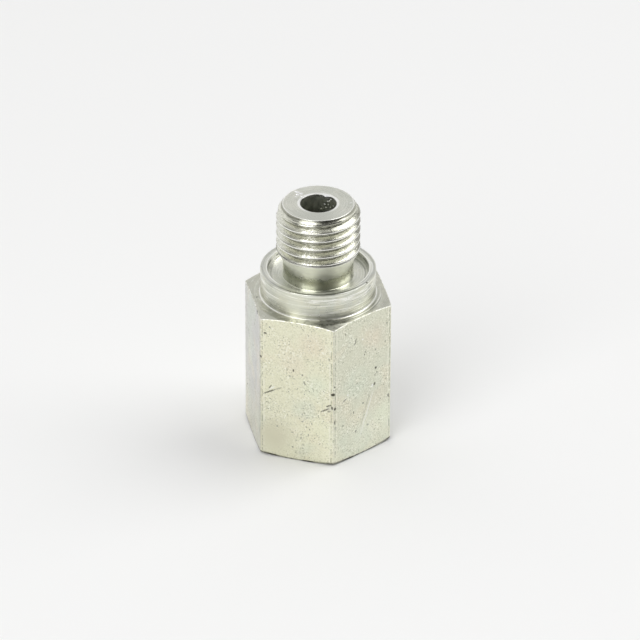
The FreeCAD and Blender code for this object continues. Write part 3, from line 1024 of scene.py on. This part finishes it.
def make_drilled():
    """The drilled bore and the tapped port: duller, with rings of tool lines and a few glints."""
    metal = Metal("drilled", (0.62, 0.64, 0.57))
    cloud = metal.noise(1.2)
    metal.paint((0.74, 0.75, 0.66), metal.mapped(cloud, 0.3, 0.7))
    glints = metal.clouds(0.3, 0.64, 0.72, detail=1)
    metal.paint((0.95, 0.95, 0.9), glints, 0.7)
    metal.paint_marks()
    roughness = metal.mapped(cloud, 0.3, 0.7, 0.3, 0.45)
    return metal.finish(roughness, metal.rings(0.16, 3), 0.008)


materials = {
    "recess": make_recess(),
    "turned": make_turned(),
    "faced": make_faced(),
    "drawn": make_drawn(),
    "threaded": make_threaded(),
    "drilled": make_drilled(),
}
adapter = make_adapter(materials)
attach(adapter, "root")
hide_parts(NODE)

# Camera, fitted to the photograph. Its distance and aim are in millimetres, its angles in degrees.
CAMERA_DISTANCE = 1000.0
CAMERA_ELEVATION = 30.64
CAMERA_AZIMUTH = 18.11
CAMERA_ROLL = -0.23
AIM_HEIGHT = 22.0
AIM_RIGHT = 0.34
AIM_UP = -1.15
FOCAL_PIXELS = 6075.0
FRAME_PIXELS = 640.0
SENSOR_MM = 36.0

# The floor lies this far below the end face, so that the two don't share a plane.
FLOOR_GAP = 0.02
FLOOR_HALF_SIZE_M = 1.5
FLOOR_COLOR = (0.885, 0.885, 0.88, 1)

# Light. Directions are azimuth and elevation in degrees, with azimuth 0 at the photograph's right.
ROOM_BRIGHTNESS = 0.8
DARK_BRIGHTNESS = 0.08
LAMP_DISTANCE_M = 1.2

# Lamps: name, azimuth, elevation, width and height in degrees as the adapter sees them, brightness.
LAMPS = [
    ("left lamp", 236, 48, 36, 52, 1.95),
    ("right lamp", 16, 53, 42, 38, 1.9),
]

# Darker places of the room: azimuth, elevation, half their width in degrees, and how dark they are.
DARK_PLACES = [
    (303, 28, 39, 1.0),
    (302, 60, 18, 0.8),
    (350, 83, 11, 0.5),
    (200, 27, 13, 1.0),
    (166, 33, 12, 0.6),
    (50, 33, 12, 0.75),
]

# Their edges fade over at most this many degrees to each side.
PLACE_FADE = 9
# They fade in between these heights above the horizon, as sines of the elevation.
HORIZON_FADE = (0.03, 0.15)


def make_camera():
    """A long-lens camera at the photograph's viewing angle."""
    elevation, azimuth, roll = (math.radians(angle) for angle in
                                (CAMERA_ELEVATION, CAMERA_AZIMUTH, CAMERA_ROLL))
    level_right = Vector((math.cos(azimuth), math.sin(azimuth), 0))
    forward = Vector((-math.sin(azimuth) * math.cos(elevation),
                      math.cos(azimuth) * math.cos(elevation), -math.sin(elevation)))
    level_up = level_right.cross(forward)
    place = (Vector((0, 0, AIM_HEIGHT)) + level_right * AIM_RIGHT + level_up * AIM_UP
             - forward * CAMERA_DISTANCE) * MM
    right = level_right * math.cos(roll) - level_up * math.sin(roll)
    up = level_up * math.cos(roll) + level_right * math.sin(roll)
    data = bpy.data.cameras.new("camera")
    data.sensor_width = SENSOR_MM
    data.lens = FOCAL_PIXELS / FRAME_PIXELS * SENSOR_MM
    data.clip_start = 0.01
    data.clip_end = 100
    camera = bpy.data.objects.new("camera", data)
    bpy.context.scene.collection.objects.link(camera)
    camera.matrix_world = Matrix((
        (right.x, up.x, -forward.x, place.x),
        (right.y, up.y, -forward.y, place.y),
        (right.z, up.z, -forward.z, place.z),
        (0, 0, 0, 1),
    ))
    bpy.context.scene.camera = camera


def make_floor():
    """A plain pale floor."""
    size = FLOOR_HALF_SIZE_M
    level = -FLOOR_GAP * MM
    corners = [(x, y, level) for x, y in [(-size, -size), (size, -size), (size, size), (-size, size)]]
    mesh = bpy.data.meshes.new("floor")
    mesh.from_pydata(corners, [], [(0, 1, 2, 3)])
    floor = bpy.data.objects.new("floor", mesh)
    bpy.context.scene.collection.objects.link(floor)
    material = bpy.data.materials.new("floor")
    material.use_nodes = True
    shader = material.node_tree.nodes["Principled BSDF"]
    shader.inputs["Base Color"].default_value = FLOOR_COLOR
    shader.inputs["Roughness"].default_value = 0.8
    shader.inputs["Specular IOR Level"].default_value = 0.0
    mesh.materials.append(material)


def direction_to(azimuth, elevation):
    """A fixed direction in the part's frame. Azimuth 0 is the photograph's right, 90 straight back."""
    turn = math.radians(azimuth + CAMERA_AZIMUTH)
    rise = math.radians(elevation)
    return Vector((math.cos(turn) * math.cos(rise), math.sin(turn) * math.cos(rise), math.sin(rise)))


def make_lamp(name, azimuth, elevation, width_degrees, height_degrees, brightness):
    """A soft rectangular lamp that faces the adapter and has a plain, even brightness."""
    towards = direction_to(azimuth, elevation)
    data = bpy.data.lights.new(name, "AREA")
    data.shape = "RECTANGLE"
    data.size = 2 * LAMP_DISTANCE_M * math.tan(math.radians(width_degrees / 2))
    data.size_y = 2 * LAMP_DISTANCE_M * math.tan(math.radians(height_degrees / 2))
    data.energy = brightness * math.pi * data.size * data.size_y
    lamp = bpy.data.objects.new(name, data)
    bpy.context.scene.collection.objects.link(lamp)
    lamp.location = towards * LAMP_DISTANCE_M
    lamp.rotation_euler = towards.to_track_quat("Z", "Y").to_euler()
    lamp.visible_camera = False


def make_world():
    """A pale room with darker places above the horizon."""
    world = bpy.data.worlds.new("studio")
    world.use_nodes = True
    nodes = Nodes(world.node_tree)
    direction = nodes.node("TexCoord", output="Generated")

    def towards(point):
        return nodes.node("VectorMath", direction, point, operation="DOT_PRODUCT", output="Value")

    shade = 0
    for azimuth, elevation, reach, amount in DARK_PLACES:
        softness = min(PLACE_FADE, reach / 2)
        edge = [math.cos(math.radians(reach + side)) for side in (softness, -softness)]
        place = nodes.mapped(towards(direction_to(azimuth, elevation)), *edge, 0, amount)
        shade = nodes.math("MAXIMUM", shade, place)
    risen = nodes.mapped(towards(Vector((0, 0, 1))), *HORIZON_FADE)
    background = nodes.tree.nodes["Background"]
    background.inputs["Color"].default_value = (1, 1, 1, 1)
    nodes.feed(background.inputs["Strength"],
               nodes.mapped(nodes.times(shade, risen), 0, 1, ROOM_BRIGHTNESS, DARK_BRIGHTNESS))
    bpy.context.scene.world = world


def make_light():
    """Two soft lamps, to the left in front and to the right behind, in a pale room."""
    make_world()
    for lamp in LAMPS:
        make_lamp(*lamp)


make_camera()
make_floor()
make_light()
bpy.context.scene.view_settings.view_transform = "Standard"
